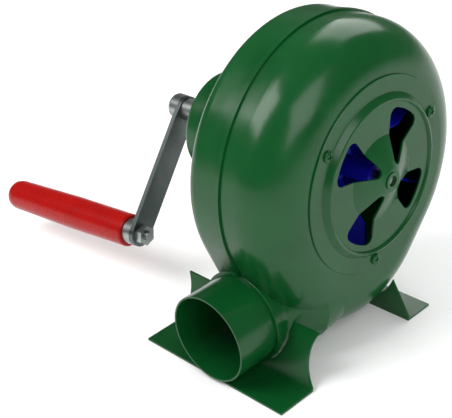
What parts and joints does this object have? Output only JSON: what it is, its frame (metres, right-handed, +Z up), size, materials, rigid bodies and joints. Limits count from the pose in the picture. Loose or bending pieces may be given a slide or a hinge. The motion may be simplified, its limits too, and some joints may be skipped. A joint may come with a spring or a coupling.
{
  "type": "hand crank blower",
  "caption": "Hand-cranked centrifugal air blower with a pressed steel volute casing, round side outlet, swirled inlet cover, geared crank and free-turning grip.",
  "frame": {"origin": "on the front foot's underside, in the casing's seam plane, 85.5 mm ahead of the fan axis", "axes": "+X along the fan axis towards the inlet, -Y the way the air leaves the outlet, +Z up"},
  "size_m": [0.2759, 0.1812, 0.1812],
  "materials": {
    "green_enamel": "gloss enamel",
    "blue_enamel": "gloss enamel",
    "sintered_bronze": "sintered",
    "plain_steel": "machined",
    "zinc_plate": "zinc plated",
    "red_plastic": "moulded"
  },
  "bodies": {
    "root": {"inlet_shell": "green_enamel", "gear_shell": "green_enamel", "seam_bead": "green_enamel", "outlet_lip": "green_enamel", "outlet_tube": "green_enamel", "inlet_cover": "green_enamel", "cover_screws": "green_enamel", "front_foot": "green_enamel", "rear_foot": "green_enamel", "gearbox_drum": "green_enamel", "gearbox_screws": "green_enamel", "bearing_plate": "plain_steel", "inner_bush": "sintered_bronze", "nose_bush": "green_enamel", "crank_bush": "sintered_bronze", "ring_gear": "plain_steel"},
    "fan": {"fan_shaft": "plain_steel", "fan_pinion": "plain_steel", "impeller_hub": "blue_enamel", "impeller": "blue_enamel", "fan_sleeve": "blue_enamel"},
    "crank": {"planet_carrier": "plain_steel", "crank_shaft": "plain_steel", "crank_sleeve": "zinc_plate", "crank_head": "zinc_plate", "crank_arm": "zinc_plate", "handle_bolt": "zinc_plate", "handle_nut": "zinc_plate", "handle_ferrule": "zinc_plate"},
    "grip": {"handle_grip": "red_plastic"},
    "planet_1": {"planet_gear_1": "plain_steel"},
    "planet_2": {"planet_gear_2": "plain_steel"},
    "planet_3": {"planet_gear_3": "plain_steel"}
  },
  "joints": [
    {"name": "crank_spin", "type": "hinge", "parent": "root", "child": "crank", "pos_m": [-0.08, 0.0855, 0.098], "axis": [1, 0, 0], "continuous": true},
    {"name": "fan_spin", "type": "hinge", "parent": "root", "child": "fan", "pos_m": [0, 0.0855, 0.098], "axis": [1, 0, 0], "continuous": true},
    {"name": "grip_spin", "type": "hinge", "parent": "crank", "child": "grip", "pos_m": [-0.10294, 0.03072, 0.03609], "axis": [-0.9956, -0.0624, -0.0705], "continuous": true},
    {"name": "planet_1_spin", "type": "hinge", "parent": "crank", "child": "planet_1", "pos_m": [-0.0505, 0.0855, 0.1145], "axis": [1, 0, 0], "continuous": true},
    {"name": "planet_2_spin", "type": "hinge", "parent": "crank", "child": "planet_2", "pos_m": [-0.0505, 0.07121, 0.08975], "axis": [1, 0, 0], "continuous": true},
    {"name": "planet_3_spin", "type": "hinge", "parent": "crank", "child": "planet_3", "pos_m": [-0.0505, 0.09979, 0.08975], "axis": [1, 0, 0], "continuous": true}
  ],
  "couplings": [
    {"joint": "fan_spin", "follows": "crank_spin", "ratio": 5.5},
    {"joint": "planet_1_spin", "follows": "crank_spin", "ratio": -2.5714},
    {"joint": "planet_2_spin", "follows": "crank_spin", "ratio": -2.5714},
    {"joint": "planet_3_spin", "follows": "crank_spin", "ratio": -2.5714}
  ]
}
